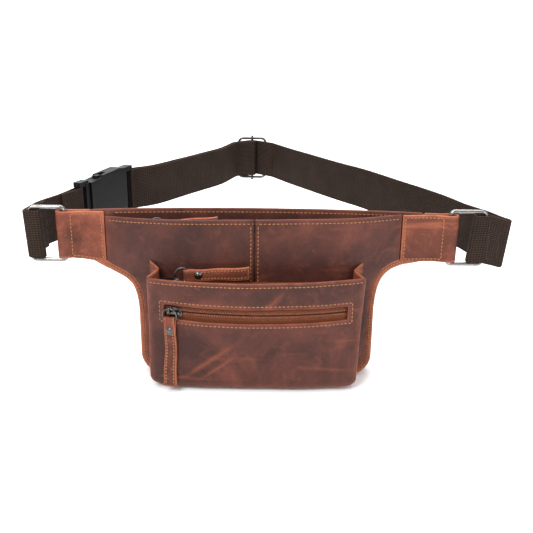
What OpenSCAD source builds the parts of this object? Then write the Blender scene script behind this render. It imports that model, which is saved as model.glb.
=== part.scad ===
// Leather waist pack on a webbing belt: a flat main pouch with a recessed zip, a bellows pocket with a
// zip of its own, a third zip across the pocket's front, two ring tabs and a buckled, adjustable belt.
// Frame: X to the wearer's left as seen from the front, Y towards the wearer, Z up. Millimetres.
// The origin is on the flat rear face of the back panel, level with the axis of the belt.

/* [Leather] */
// Thickness of the panel leather
leather = 2.0; // [1.6:0.1:2.4]
// Height of the back panel above the belt axis
back_top = 22; // [21:0.5:24]
// Lowest level of the pack
pack_bottom = -114; // [-116:1:-112]
// Half width of the lower pouch
pouch_half = 94; // [92:1:96]
// Forward bulge of the main pouch at its middle
pouch_depth = 25; // [24:0.5:26]

/* [Pocket] */
// Forward face of the bellows pocket at its middle
pocket_front_y = 50; // [49:0.5:52]
// Half width of the bellows pocket
pocket_half = 84.5; // [83:0.5:85]
// Radius of the pocket face in plan
pocket_radius = 250; // [245:5:270]

/* [Belt] */
// Width of the belt webbing
web_w = 39; // [38:0.5:39.4]
// Thickness of the belt webbing
web_t = 1.7; // [1.4:0.1:1.8]
// Wire diameter of the rectangular rings
ring_wire = 3.2; // [3:0.1:3.4]

/* [Hidden] */
$fn = 48;

tan_leather = [0.62, 0.33, 0.22];
dark_leather = [0.38, 0.22, 0.18];
web_brown = [0.16, 0.12, 0.10];
gunmetal = [0.45, 0.44, 0.43];
zip_brown = [0.45, 0.26, 0.15];
eps = 0.01;

// ---- outline of the pack, in X and Z ----
tab_z = 19.4;           // half height of the tabs
wing_end = 131;         // where the back panel hands over to the tab
wing_low = -23;         // lower edge of the wing
cove_r = 38;            // concave sweep from the wing to the pouch
cove_x = pouch_half + cove_r;
cove_z = wing_low - cove_r;
corner_r = 17;
front_top = 19.3;       // top of the main front panel in its middle
front_sag = 2.3;        // how far the top falls towards the tabs
front_end = 117;        // where the front panel meets the tab

function arc(cx, cy, r, a0, a1, n) =
    [for (i = [0 : n]) let (a = a0 + (a1 - a0) * i / n) [cx + r * cos(a), cy + r * sin(a)]];

// Right half of the outline from the wing round to the bottom, moved inwards by d
function half_outline(d, end) = concat(
    [[end, wing_low + d]],
    arc(cove_x, cove_z, cove_r + d, 90, 180, 14),
    arc(pouch_half - corner_r, pack_bottom + corner_r, corner_r - d, 0, -90, 8)
);
function mirrored(pts) = [for (i = [len(pts) - 1 : -1 : 0]) [-pts[i][0], pts[i][1]]];
function outline(d, end, top) = let (h = half_outline(d, end))
    concat([[-end, top], [end, top]], h, mirrored(h));

// Extrudes an outline drawn in X and Z from y0 back to y1
module xz_plate(y0, y1) {
    translate([0, y1, 0]) rotate([90, 0, 0]) linear_extrude(y1 - y0) children();
}

// ---- plan of the main front panel: a flat-topped bulge ----
front_base = 4;
function bulge(x, depth = pouch_depth) =
    -front_base - (depth - front_base) * (1 - pow(abs(x) / front_end, 3));
bulge_steps = 26;
function bulge_line(off, x0, x1) = [for (i = [0 : bulge_steps])
    let (x = x0 + (x1 - x0) * i / bulge_steps) [x, bulge(x) + off]];
module bulge_sheet(off0, off1, x0, x1) {
    polygon(concat(bulge_line(off0, x0, x1), bulge_line(off1, x1, x0)));
}

module back_panel() {
    color(tan_leather) xz_plate(-leather, 0)
        polygon(concat([[-wing_end, tab_z], [-wing_end + 1, tab_z]],
            [for (i = [-5 : 5]) [i * 25, back_top - pow(i / 5, 2) * 2]],
            [[wing_end, tab_z]], half_outline(0, wing_end), mirrored(half_outline(0, wing_end))));
}

// Side wall of the main pouch, which follows the cove and the bottom
band_w = 2.4;
module edge_band() {
    color(tan_leather) intersection() {
        xz_plate(-40, -leather - eps) difference() {
            polygon(outline(0, front_end, -22));
            polygon(outline(band_w, front_end + 1, -21));
        }
        translate([0, 0, -130]) linear_extrude(150)
            polygon(concat([[-front_end, -leather], [front_end, -leather]],
                bulge_line(leather + 0.1, front_end, -front_end)));
    }
}

seam_gap = 0.3;
module main_front(side) {
    color(dark_leather) intersection() {
        translate([0, 0, -130]) linear_extrude(160)
            bulge_sheet(0, leather, side * seam_gap / 2, side * front_end);
        xz_plate(-40, 0) polygon(concat(
            [for (i = [-8 : 8]) [i / 8 * front_end, front_top - front_sag * pow(i / 8, 2)]],
            half_outline(0, front_end), mirrored(half_outline(0, front_end))));
    }
}
module seam_backing() {
    color(tan_leather) translate([0, 0, -100]) linear_extrude(100 + main_zip_z - 0.5)
        bulge_sheet(leather + 0.1, leather + 1.1, -5, 5);
}

// ---- ring tabs: leather folded round the inner bar of each ring ----
ring_in = 151.5;        // inner bar of the ring
ring_out = 179;         // outer bar of the ring
ring_y = -3.9;
fold_hole = ring_wire / 2 + 0.4;
tab_inner = front_end + 1;
module tab(side) {
    mirror([side < 0 ? 1 : 0, 0, 0]) color(tan_leather)
    translate([0, 0, -tab_z]) linear_extrude(2 * tab_z) difference() {
        polygon(concat([[wing_end + 0.3, 0]], arc(ring_in, ring_y, -ring_y, 90, -90, 16),
            [[138, -leather - 2.4], [tab_inner, -leather - 2.4], [tab_inner, -leather - 0.1],
            [wing_end + 0.3, -leather - 0.1]]));
        translate([ring_in, ring_y]) circle(fold_hole);
    }
}

// ---- textile lining of the main pouch: a thin open-topped bag ----
lining_t = 0.8;
lining_top = -1.8;
lining_end = 106;
lining_brown = [0.30, 0.22, 0.17];
// Space inside the main pouch, moved inwards by d
module pouch_space(d, top) {
    intersection() {
        xz_plate(-pouch_depth, -leather - d) polygon(outline(band_w + d, lining_end - d, top));
        translate([0, 0, pack_bottom]) linear_extrude(top - pack_bottom)
            polygon(concat([[-front_end, -leather], [front_end, -leather]],
                bulge_line(leather + 1.1 + d, front_end, -front_end)));
    }
}
module main_lining() {
    color(lining_brown) difference() {
        pouch_space(0.2, lining_top);
        pouch_space(0.2 + lining_t, lining_top + 1);
    }
}

// ---- zips: slider, link, ring, pull strap and rivet are shared by the three zips ----
coil_w = 2.2;           // width of each row of coils
coil_t = 2.2;
coil_gap = 0.8;         // space that the slider's post runs in
tape_t = 0.6;
slider_l = 12;
slider_w = 8.4;
plate_t = 1.0;
slider_gap = coil_t + 0.4;
bridge_h = 2.8;
bridge_bar = 1.3;       // height of the bridge's bar
bridge_w = 1.6;
bridge_in = 3.6;        // half length of the gap under the bar

// A slider that runs along X over coils at the origin, with its bridge towards +Z
module zip_slider() {
    for (s = [-1, 1]) translate([-slider_l / 2, 0, s * (slider_gap + plate_t) / 2]) slider_plate();
    translate([-slider_l / 2 + 1.6, 0, 0])
        cube([2.4, coil_gap - 0.3, slider_gap + plate_t], center = true);
    translate([0, 0, slider_top]) difference() {
        translate([-bridge_in - 1.4, -bridge_w / 2, -0.2])
            cube([2 * bridge_in + 2.8, bridge_w, bridge_h + 0.2]);
        translate([-bridge_in, -bridge_w, 0]) cube([2 * bridge_in, 2 * bridge_w, bridge_h - bridge_bar]);
    }
}
module slider_plate() {
    translate([0, 0, -plate_t / 2]) linear_extrude(plate_t)
        polygon([[0, -slider_w / 2 + 1.4], [1.4, -slider_w / 2], [4.5, -slider_w / 2], [slider_l - 1, -3],
            [slider_l, -2], [slider_l, 2], [slider_l - 1, 3], [4.5, slider_w / 2],
            [1.4, slider_w / 2], [0, slider_w / 2 - 1.4]]);
}
slider_top = slider_gap / 2 + plate_t;

link_wire = 1.0;
link_end = 1.5;         // radius of a link's round ends
link_l = 7;
// A long link in the plane whose normal is X, standing on its near end at the origin
module link() {
    for (s = [0, 1]) translate([0, 0, link_end + s * (link_l - 2 * link_end)])
        rotate([90, 0, 90]) rotate([0, 0, s ? 0 : 180])
            rotate_extrude(angle = 180) translate([link_end, 0]) circle(link_wire / 2, $fn = 24);
    for (s = [-1, 1]) translate([0, s * link_end, link_end])
        cylinder(r = link_wire / 2, h = link_l - 2 * link_end, $fn = 24);
}

pull_ring_r = 5.6;
pull_wire = 1.3;
strap_w = 8.6;
strap_t = 2.4;          // both layers
slot_w = pull_wire / 2 + 0.25;
slot_h = 2.6;           // slack of the fold above the ring's foot
rivet_at = 7;           // below the ring's foot
rivet_shank = 1.1;
rivet_head = 3.1;
// A ring in the X-Z plane whose centre is at the origin
module pull_ring() {
    rotate([90, 0, 0]) rotate_extrude() translate([pull_ring_r, 0]) circle(pull_wire / 2, $fn = 24);
}
// A strap folded round the foot of such a ring and hanging down
module pull_strap(length) {
    wall = strap_t / 2;
    half = slot_w + wall;
    difference() {
        translate([-strap_w / 2, 0, -pull_ring_r]) rotate([90, 0, 90]) linear_extrude(strap_w) difference() {
            polygon(concat(arc(0, slot_h, half, 180, 0, 16),
                [[half, 0], [wall, -4], [wall, -length], [-wall, -length], [-wall, -4], [-half, 0]]));
            translate([0, slot_h]) circle(slot_w);
            translate([-slot_w, 0]) square([2 * slot_w, slot_h]);
            circle(slot_w);
        }
        translate([0, 0, -pull_ring_r - rivet_at]) rotate([90, 0, 0])
            cylinder(r = rivet_shank + 0.05, h = 10, center = true);
    }
}
module rivet() {
    cap = 0.9;
    translate([0, 0, -pull_ring_r - rivet_at]) rotate([90, 0, 0]) {
        cylinder(r = rivet_shank, h = strap_t + 0.2, center = true);
        for (s = [0, 1]) mirror([0, 0, s]) translate([0, 0, strap_t / 2 + 0.05]) rotate_extrude()
            polygon([[0, 0], [rivet_head, 0], [rivet_head, 0.35], [rivet_head - 0.8, cap - 0.1], [0, cap]]);
    }
}

// ---- main zip: level, just below the mouth of the pouch ----
main_zip_y = -6.7;
main_zip_z = 1;
main_zip_half = 98;
main_rest_x = -90;
main_strap_l = 42;
// Both coil rows of a level zip, one side at a time
module coil_row(y, z, half, s) {
    translate([-half, y + (s > 0 ? coil_gap / 2 : -coil_gap / 2 - coil_w), z - coil_t / 2])
        cube([2 * half, coil_w, coil_t]);
}
module main_tape_rear() {
    color(zip_brown) {
        coil_row(main_zip_y, main_zip_z, main_zip_half, 1);
        translate([-main_zip_half, main_zip_y + 1, main_zip_z - tape_t / 2])
            cube([2 * main_zip_half, -leather - 0.1 - main_zip_y - 1, tape_t]);
    }
}
module main_tape_front() {
    color(zip_brown) intersection() {
        union() {
            coil_row(main_zip_y, main_zip_z, main_zip_half, -1);
            translate([-main_zip_half, -30, main_zip_z - tape_t / 2])
                cube([2 * main_zip_half, 30 + main_zip_y - 1, tape_t]);
        }
        translate([0, 0, main_zip_z - 5]) linear_extrude(10)
            polygon(concat([[-front_end, -leather], [front_end, -leather]],
                bulge_line(leather + 0.1, front_end, -front_end)));
    }
}
module end_stops(x, y, z) {
    for (s = [-1, 1]) translate([s * x, y, z]) cube([1.6, 4.6, 2.9], center = true);
}
module main_zip_stops() {
    color(gunmetal) end_stops(main_zip_half + 0.9, main_zip_y, main_zip_z);
}
// On a level zip the link lies towards +X, with its near side under the bridge, and the ring stands on it
level_near = [2.7, slider_top + 0.62];
level_tilt = 14;
level_hold = 4.8;       // from the link's near side to the ring's wire
level_lean = 42;        // direction of the ring's centre from there
level_grip = level_near + level_hold * [cos(level_tilt), sin(level_tilt)];
level_centre = level_grip + pull_ring_r * [cos(level_lean), sin(level_lean)];
module level_link() {
    translate([level_near[0], 0, level_near[1]]) rotate([0, 90 - level_tilt, 0]) link();
}
// Places a hanging pull so that it runs along +X
module level_pull() { translate([level_centre[0], 0, level_centre[1]]) rotate([0, -90, 0]) children(); }
module main_at() { translate([main_rest_x, main_zip_y, main_zip_z]) children(); }
module main_slider() { color(gunmetal) main_at() zip_slider(); }
module main_link() { color(gunmetal) main_at() level_link(); }
module main_pull_ring() { color(gunmetal) main_at() level_pull() pull_ring(); }
module main_pull_strap() { color(tan_leather) main_at() level_pull() pull_strap(main_strap_l); }
module main_rivet() { color(gunmetal) main_at() level_pull() rivet(); }

// ---- bellows pocket ----
pocket_top = -23.5;
pocket_low = pack_bottom + 3;
pocket_axis_y = pocket_radius - pocket_front_y;
pocket_angle = asin(pocket_half / pocket_radius);
// Sheet that follows the pocket's face: inward offsets d0 to d1, levels z0 to z1, angle from a0 to a1
module face_sheet(d0, d1, z0, z1, a0, a1) {
    translate([0, pocket_axis_y, 0]) rotate([0, 0, -90 + a0]) rotate_extrude(angle = a1 - a0, $fn = 96)
        translate([pocket_radius - d1, z0]) square([d1 - d0, z1 - z0]);
}
window_half = 70;
window_angle = asin(window_half / pocket_radius);
face_zip_z = -50.5;
window_h = 12;
module pocket_front() {
    color(dark_leather) difference() {
        face_sheet(0, leather, pocket_low, pocket_top, -pocket_angle, pocket_angle);
        face_sheet(-1, leather + 1, face_zip_z - window_h / 2, face_zip_z + window_h / 2,
            -window_angle, window_angle);
    }
}
gusset_t = 1.5;
gusset_top = -17;
fold_x = pocket_half - 4;       // how far the bellows folds in
gusset_front_y = pocket_axis_y - sqrt(pow(pocket_radius - leather, 2) - pow(pocket_half, 2)) + 0.1;
gusset_rear_y = bulge(pocket_half - 2.1) - 0.1;
module gusset_side() {
    mid = (gusset_front_y + gusset_rear_y) / 2;
    intersection() {
        translate([0, 0, pocket_low]) linear_extrude(gusset_top - pocket_low) polygon([
            [pocket_half, gusset_rear_y], [fold_x + gusset_t, mid], [pocket_half, gusset_front_y],
            [pocket_half - gusset_t - 0.6, gusset_front_y], [fold_x - gusset_t, mid],
            [pocket_half - gusset_t - 0.6, gusset_rear_y]]);
        rotate([90, 0, 90]) linear_extrude(pocket_half + 1) polygon([
            [gusset_rear_y + 1, pocket_low], [gusset_rear_y + 1, gusset_top],
            [gusset_front_y, pocket_top], [gusset_front_y - 1, pocket_low]]);
    }
}
module pocket_gusset() {
    color(tan_leather) {
        for (s = [0, 1]) mirror([s, 0, 0]) gusset_side();
        translate([0, 0, pocket_low]) linear_extrude(gusset_t) difference() {
            intersection() {
                translate([-pocket_half + 2, -60]) square([2 * pocket_half - 4, 45]);
                translate([0, pocket_axis_y]) circle(pocket_radius - leather - 0.2, $fn = 240);
            }
            polygon(concat([[-100, 0], [100, 0]], bulge_line(-0.3, 100, -100)));
        }
    }
}
pocket_lining_d = leather + 5.2;    // depth of the lining behind the face
pocket_lining_a = 13.5;
module pocket_lining() {
    color(lining_brown) face_sheet(pocket_lining_d, pocket_lining_d + lining_t,
        pocket_low + 4, pocket_zip_z - 3, -pocket_lining_a, pocket_lining_a);
}

// ---- zip that closes the bellows pocket ----
pocket_zip_y = -32;
pocket_zip_z = -31;
pocket_zip_half = 74.5;
pocket_rest_x = -68.5;
pocket_strap_l = 46;
module pocket_tape_rear() {
    color(zip_brown) difference() {
        union() {
            coil_row(pocket_zip_y, pocket_zip_z, pocket_zip_half, 1);
            translate([-pocket_zip_half, pocket_zip_y + 1, pocket_zip_z - tape_t / 2])
                cube([2 * pocket_zip_half, 20, tape_t]);
        }
        translate([0, 0, pocket_zip_z - 5]) linear_extrude(10)
            polygon(concat([[-front_end, 0], [front_end, 0]], bulge_line(-0.2, front_end, -front_end)));
    }
}
module pocket_tape_front() {
    color(zip_brown) intersection() {
        union() {
            coil_row(pocket_zip_y, pocket_zip_z, pocket_zip_half, -1);
            translate([-pocket_zip_half, pocket_zip_y - 21, pocket_zip_z - tape_t / 2])
                cube([2 * pocket_zip_half, 20, tape_t]);
        }
        translate([0, pocket_axis_y, pocket_zip_z - 5])
            cylinder(r = pocket_radius - leather - 0.2, h = 10, $fn = 240);
    }
}
module pocket_zip_stops() {
    color(gunmetal) end_stops(pocket_zip_half + 0.9, pocket_zip_y, pocket_zip_z);
}
module pocket_at() { translate([pocket_rest_x, pocket_zip_y, pocket_zip_z]) children(); }
module pocket_slider() { color(gunmetal) pocket_at() zip_slider(); }
module pocket_link() { color(gunmetal) pocket_at() level_link(); }
module pocket_pull_ring() { color(gunmetal) pocket_at() level_pull() pull_ring(); }
module pocket_pull_strap() { color(tan_leather) pocket_at() level_pull() pull_strap(pocket_strap_l); }
module pocket_rivet() { color(gunmetal) pocket_at() level_pull() rivet(); }

// ---- zip across the pocket's face; it follows the face's arc ----
face_coil_d = leather + 1.6;    // depth of the coils' middle behind the face
module face_tape(s) {
    z_coil = face_zip_z + s * (coil_gap + coil_w) / 2;
    z_far = face_zip_z + s * (window_h / 2 + 4);
    z_near = face_zip_z + s * 1.2;
    a = window_angle + 0.6;
    face_sheet(face_coil_d - coil_t / 2, face_coil_d + coil_t / 2,
        z_coil - coil_w / 2, z_coil + coil_w / 2, -a, a);
    face_sheet(face_coil_d - tape_t / 2, face_coil_d + tape_t / 2,
        min(z_far, z_near), max(z_far, z_near), -a, a);
}
module face_tape_upper() { color(zip_brown) face_tape(1); }
module face_tape_lower() { color(zip_brown) face_tape(-1); }
module face_zip_stops() {
    color(gunmetal) for (s = [-1, 1]) face_at(s * (window_angle + 0.85)) cube([1.8, 4.6, 2.6], center = true);
}
// Places a piece drawn for a level zip on the face at an angle round it, bridge outwards
module face_at(angle) {
    translate([0, pocket_axis_y, face_zip_z]) rotate([0, 0, angle])
        translate([0, face_coil_d - pocket_radius, 0]) rotate([90, 0, 0]) children();
}
pouch_sheet_d = face_coil_d + 2.6;
pouch_sheet_a = 15;
module face_zip_pouch() {
    color(lining_brown) face_sheet(pouch_sheet_d, pouch_sheet_d + tape_t,
        pocket_low + 8, face_zip_z + 9, -pouch_sheet_a, pouch_sheet_a);
}
face_rest = -asin(63 / pocket_radius);
face_strap_l = 51;
// The link stands up and outwards from the bridge's bar, and the ring hangs from its top
face_bar = slider_top + bridge_h - bridge_bar / 2;
face_link_tilt = 22;
face_link_d = 1.7;      // from the link's near wire to the bar
face_grip_d = 4;        // from the bar to the ring's wire
face_strap_tilt = 1.5;
face_off = -2.7;        // the link hangs at this end of the bridge
module face_slider() { color(gunmetal) face_at(face_rest) zip_slider(); }
module face_link() {
    color(gunmetal) face_at(face_rest) translate([face_off, 0, face_bar]) rotate([face_link_tilt - 90, 0, 0])
        translate([0, 0, -face_link_d]) link();
}
// Places a hanging pull below the link of the face zip
module face_pull() {
    hang = face_grip_d * cos(face_link_tilt) - pull_ring_r;
    face_at(face_rest) translate([face_off, hang, face_bar + face_grip_d * sin(face_link_tilt)])
        rotate([-90, 0, 0]) children();
}
module face_pull_ring() { color(gunmetal) face_pull() pull_ring(); }
module face_pull_strap() {
    color(tan_leather) face_pull() rotate([0, -face_strap_tilt, 0]) pull_strap(face_strap_l);
}
module face_rivet() { color(gunmetal) face_pull() rotate([0, -face_strap_tilt, 0]) rivet(); }

// ---- rectangular rings ----
ring_half_h = 21.7;
ring_corner = 3.4;
module ring(side) {
    r = ring_wire / 2;
    color(gunmetal) translate([side * (ring_in + ring_out) / 2, ring_y, 0]) {
        hw = (ring_out - ring_in) / 2;
        for (s = [-1, 1]) {
            translate([s * hw, 0, 0]) cylinder(r = r, h = 2 * (ring_half_h - ring_corner), center = true);
            translate([0, 0, s * ring_half_h]) rotate([0, 90, 0])
                cylinder(r = r, h = 2 * (hw - ring_corner), center = true);
            for (t = [0, 1]) mirror([t, 0, 0]) mirror([0, 0, s > 0 ? 0 : 1])
                translate([hw - ring_corner, 0, ring_half_h - ring_corner]) rotate([90, 0, 0])
                    rotate_extrude(angle = 90) translate([ring_corner, 0]) circle(r, $fn = 24);
        }
    }
}

// ---- belt webbing: a flat strip swept along a route in plan ----
function unit(v) = v / norm(v);
function route_dir(p, i) = unit(p[min(i + 1, len(p) - 1)] - p[max(i - 1, 0)]);
function strip_ring(p, i) = let (d = route_dir(p, i), n = [-d[1], d[0]] * web_t / 2, h = web_w / 2)
    [concat(p[i] + n, -h), concat(p[i] - n, -h), concat(p[i] - n, h), concat(p[i] + n, h)];
module strip(p) {
    n = len(p);
    points = [for (i = [0 : n - 1]) each strip_ring(p, i)];
    sides = [for (i = [0 : n - 2]) for (k = [0 : 3])
        [4 * i + k, 4 * i + (k + 1) % 4, 4 * (i + 1) + (k + 1) % 4, 4 * (i + 1) + k]];
    far_end = [for (k = [0 : 3]) 4 * (n - 1) + k];
    polyhedron(points, concat([[3, 2, 1, 0]], sides, [far_end]), convexity = 8);
}
loop_gap = ring_wire / 2 + 0.5 + web_t / 2;
function bend(c, r, a0, a1, n = 8) = arc(c[0], c[1], r, a0, a1, n);

// Buckle: its line runs from the short webbing's bar towards the belt slide
buckle_a = 66;                      // direction in plan
buckle_at = [-156, 66];             // middle of the male bar
female_bar = 76;                    // from there to the female bar
function along(d, off = 0) = [buckle_at[0] + d * cos(buckle_a) - off * sin(buckle_a),
    buckle_at[1] + d * sin(buckle_a) + off * cos(buckle_a)];
bar_r = 1.8;
wrap = bar_r + 0.4 + web_t / 2;     // centreline of webbing wrapped round a buckle bar

// Short webbing: sewn round the left ring and round the male bar
short_route = concat(
    [[-173.6, 22], [-176.6, 12], [-177.4, 4], [-175.6, -0.4]],
    bend([-172.5, ring_y], loop_gap, 90, -90), [[-176, ring_y - loop_gap]],
    bend([-ring_out, ring_y], loop_gap, -90, -180, 6),
    [[-181.6, 3], [-180, 12], [-176, 26], along(-26, 1), along(-12, 1.8)],
    bend(along(0), wrap, buckle_a + 105, buckle_a - 105, 10),
    [along(-12, -1.8), along(-24, -1)]
);
// Long webbing: sewn round the right ring and folded back behind it, then up to the slide
slide_x = -10;
slide_y = 288;
long_route = concat(
    [[196, -2.3], [190, -2.4], [184, -1.2], [179, ring_y + loop_gap]],
    bend([171.5, ring_y], loop_gap, 90, 270),
    [[179, ring_y - loop_gap], [185, -6.4], [190, -5], [195.3, -4.6]],
    bend([196.3, -0.6], 4, -80, 75, 7),
    [[188, 6.4], [181, 9.6], [175, 17], [168, 32], [157, 57], [144, 80], [131, 101], [102, 149], [85, 172],
     [67, 196], [48, 223], [30, 250], [slide_x + 24, slide_y - 12.8]]
);
// Adjuster: the weave through the slide, on to the female bar, round it and back to the middle bar
adjuster_route = concat(
    [[slide_x + 23.7, slide_y - 12.4], [slide_x + 21, slide_y - 9], [slide_x + 14, slide_y - 3.6],
     [slide_x + 6, slide_y + 3.2], [slide_x, slide_y + 5.2], [slide_x - 6, slide_y + 3.2],
     [slide_x - 14, slide_y - 3.6], [slide_x - 21, slide_y - 10], [-44, 246], [-63, 217], [-84, 187],
     [-104, 160], along(female_bar + 8, 2.6)],
    bend(along(female_bar), wrap, buckle_a + 80, buckle_a - 80, 10),
    [along(female_bar + 9, -3), [-101, 157], [-81.4, 184], [-60.4, 214], [-41.4, 243],
     [slide_x - 18.6, slide_y - 12.4], [slide_x - 12, slide_y - 6.4], [slide_x - 5, slide_y - 4.8]],
    bend([slide_x, slide_y], 3.2, -100, 80, 9), [[slide_x - 3, slide_y + 2.2], [slide_x - 9, slide_y - 2.2]]
);
module webbing_short() { color(web_brown) strip(short_route); }
module webbing_long() { color(web_brown) strip(long_route); }
module webbing_adjuster() { color(web_brown) strip(adjuster_route); }

// ---- side-release buckle, drawn along +X and turned on to its line ----
buckle_t = 11;
bar_h = 44;             // height of both strap bars
arm_t = 4.4;
mouth = 12;             // where the female housing begins
housing_l = 54;
cavity_t = 5.4;
cavity_half = 19.6;
blade_t = 4;
prong_root = 11;
prong_z = 15.5;
prong_gap = 0.3;
prong_r = 2;
prong_hinge = prong_root + prong_gap + prong_r;
module on_buckle() { translate([buckle_at[0], buckle_at[1], 0]) rotate([0, 0, buckle_a]) children(); }
// Extrudes an outline drawn along the buckle and up, with its middle on the buckle's plane
module blade(t) { rotate([90, 0, 0]) linear_extrude(t, center = true) children(); }
module buckle_male() {
    color([0.05, 0.05, 0.05]) on_buckle() {
        cylinder(r = bar_r, h = bar_h, center = true);
        for (s = [-1, 1]) translate([4, 0, s * bar_h / 2]) cube([12, 7, arm_t], center = true);
        translate([8.5, 0, 0]) cube([5, 8, bar_h], center = true);
        translate([21, 0, 0]) cube([28, blade_t, 9], center = true);
    }
}
module prong(s) {
    color([0.05, 0.05, 0.05]) on_buckle() mirror([0, 0, s > 0 ? 0 : 1]) translate([prong_hinge, 0, prong_z])
        blade(blade_t) polygon(concat(arc(0, 0, prong_r, 90, 270, 12),
            [[10, -1], [20, 1], [24, 3], [23, 6], [17, 9], [11, 9.4], [10, 5], [6, 2.6]]));
}
module buckle_female() {
    wing = female_bar - mouth - housing_l;
    color([0.05, 0.05, 0.05]) on_buckle() {
        difference() {
            translate([mouth + housing_l / 2, 0, 0]) blade(buckle_t) polygon([
                [-27, -22], [-12, -23], [-9.5, -25], [17, -26], [27, -24],
                [27, 24], [17, 26], [-9.5, 25], [-12, 23], [-27, 22]]);
            translate([mouth - 1, -cavity_t / 2, -cavity_half]) cube([38, cavity_t, 2 * cavity_half]);
            for (s = [-1, 1]) translate([prong_hinge + 16.5, 0, s * 23])
                cube([16, cavity_t, 12], center = true);
        }
        for (s = [-1, 1]) translate([female_bar - wing / 2 + 0.5, 0, s * bar_h / 2])
            cube([wing + 3, 8, arm_t], center = true);
        translate([female_bar, 0, 0]) cylinder(r = bar_r, h = bar_h, center = true);
    }
}

// ---- belt slide: an oval wire frame with a riveted middle bar ----
slide_half_w = 15;
slide_half_h = 22.2;
slide_wire = 2.8;
slide_corner = 5;
module slide_frame() {
    r = slide_wire / 2;
    color(gunmetal) translate([slide_x, slide_y, 0]) difference() {
        union() for (s = [-1, 1]) {
            translate([s * slide_half_w, 0, 0])
                cylinder(r = r, h = 2 * (slide_half_h - slide_corner), center = true);
            translate([0, 0, s * slide_half_h]) rotate([0, 90, 0])
                cylinder(r = r, h = 2 * (slide_half_w - slide_corner), center = true);
            for (t = [0, 1]) mirror([t, 0, 0]) mirror([0, 0, s > 0 ? 0 : 1])
                translate([slide_half_w - slide_corner, 0, slide_half_h - slide_corner])
                    rotate([90, 0, 0]) rotate_extrude(angle = 90) translate([slide_corner, 0])
                        circle(r, $fn = 24);
        }
        cylinder(r = 0.75, h = 60, center = true);
    }
}
module slide_bar() {
    color(gunmetal) translate([slide_x, slide_y, 0]) {
        cylinder(r = 1.25, h = 2 * (slide_half_h - slide_wire / 2) - 0.1, center = true);
        cylinder(r = 0.7, h = 2 * slide_half_h + slide_wire + 0.4, center = true);
        for (s = [-1, 1]) translate([0, 0, s * (slide_half_h + slide_wire / 2 + 0.75)]) sphere(1.3);
    }
}

back_panel();
edge_band();
main_front(-1);  // main_front_left
main_front(1);  // main_front_right
seam_backing();
tab(-1);  // tab_left
tab(1);  // tab_right
main_lining();
main_tape_rear();
main_tape_front();
main_zip_stops();
main_slider();
main_link();
main_pull_ring();
main_pull_strap();
main_rivet();
pocket_front();
pocket_gusset();
pocket_lining();
pocket_tape_rear();
pocket_tape_front();
pocket_zip_stops();
pocket_slider();
pocket_link();
pocket_pull_ring();
pocket_pull_strap();
pocket_rivet();
face_tape_upper();
face_tape_lower();
face_zip_stops();
face_zip_pouch();
face_slider();
face_link();
face_pull_ring();
face_pull_strap();
face_rivet();
ring(-1);  // ring_left
ring(1);  // ring_right
webbing_short();
webbing_long();
webbing_adjuster();
buckle_male();
prong(1);  // prong_upper
prong(-1);  // prong_lower
buckle_female();
slide_frame();
slide_bar();
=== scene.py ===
"""Visual model of a leather waist pack: leather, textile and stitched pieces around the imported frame."""

import math
import random

import bpy
from mathutils import Matrix, Vector, noise
from mathutils.geometry import delaunay_2d_cdt
from mathutils.kdtree import KDTree


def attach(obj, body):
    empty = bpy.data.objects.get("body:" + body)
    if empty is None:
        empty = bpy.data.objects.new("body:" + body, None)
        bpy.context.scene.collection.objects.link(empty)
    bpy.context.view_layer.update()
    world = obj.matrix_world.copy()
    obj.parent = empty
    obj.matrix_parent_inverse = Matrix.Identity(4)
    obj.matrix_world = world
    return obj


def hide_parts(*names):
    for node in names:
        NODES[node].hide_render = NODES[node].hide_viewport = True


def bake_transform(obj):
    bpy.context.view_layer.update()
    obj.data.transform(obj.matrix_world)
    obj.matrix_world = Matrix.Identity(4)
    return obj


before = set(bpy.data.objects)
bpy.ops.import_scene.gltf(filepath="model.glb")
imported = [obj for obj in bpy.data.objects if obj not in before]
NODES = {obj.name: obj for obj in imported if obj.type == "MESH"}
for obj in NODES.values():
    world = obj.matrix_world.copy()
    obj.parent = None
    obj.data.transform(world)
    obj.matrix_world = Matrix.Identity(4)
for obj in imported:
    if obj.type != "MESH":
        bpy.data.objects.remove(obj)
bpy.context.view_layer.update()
MM = 0.001
random.seed(7)

# ---- sizes in millimetres, most of them shared with the part's source ----
POUCH_BOTTOM = -114
POUCH_HALF = 94
CORNER_R = 15.5
FRONT_END = 117
WING_END = 131
TAB_Z = 19.4
FRONT_TOP = 19.3
FRONT_SAG = 2.3
FRONT_TILT, POCKET_TILT = 0.018, 0.011  # slope of the two top edges, up to the right
POUCH_DEPTH = 25
RING_IN, RING_OUT, RING_Y = 151.5, 179, -3.9
FACE_R = 250
FACE_AXIS = 200
POCKET_HALF = 84.5
POCKET_TOP, POCKET_LOW = -23.5, -111
GUSSET_TOP = -17
ZIP_Z = -50.5
WINDOW_HALF, WINDOW_H = 70, 12
FRAME_HALF, FRAME_H = WINDOW_HALF + 4.2, 8.5  # stitch rectangle round the window
WEB_W, WEB_T = 39, 1.9
LEATHER = 2.0
CLOTH = 0.7


# ---- curves ----
def arc(cx, cy, r, a0, a1, n):
    angles = [math.radians(a0 + (a1 - a0) * i / n) for i in range(n + 1)]
    return [(cx + r * math.cos(a), cy + r * math.sin(a)) for a in angles]


def rectangle(half, start, end):
    """Corners of a rectangle centred on zero, from one level to the other."""
    return [(-half, start), (half, start), (half, end), (-half, end)]


def smooth(t):
    t = min(1, max(0, t))
    return t * t * (3 - 2 * t)


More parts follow.
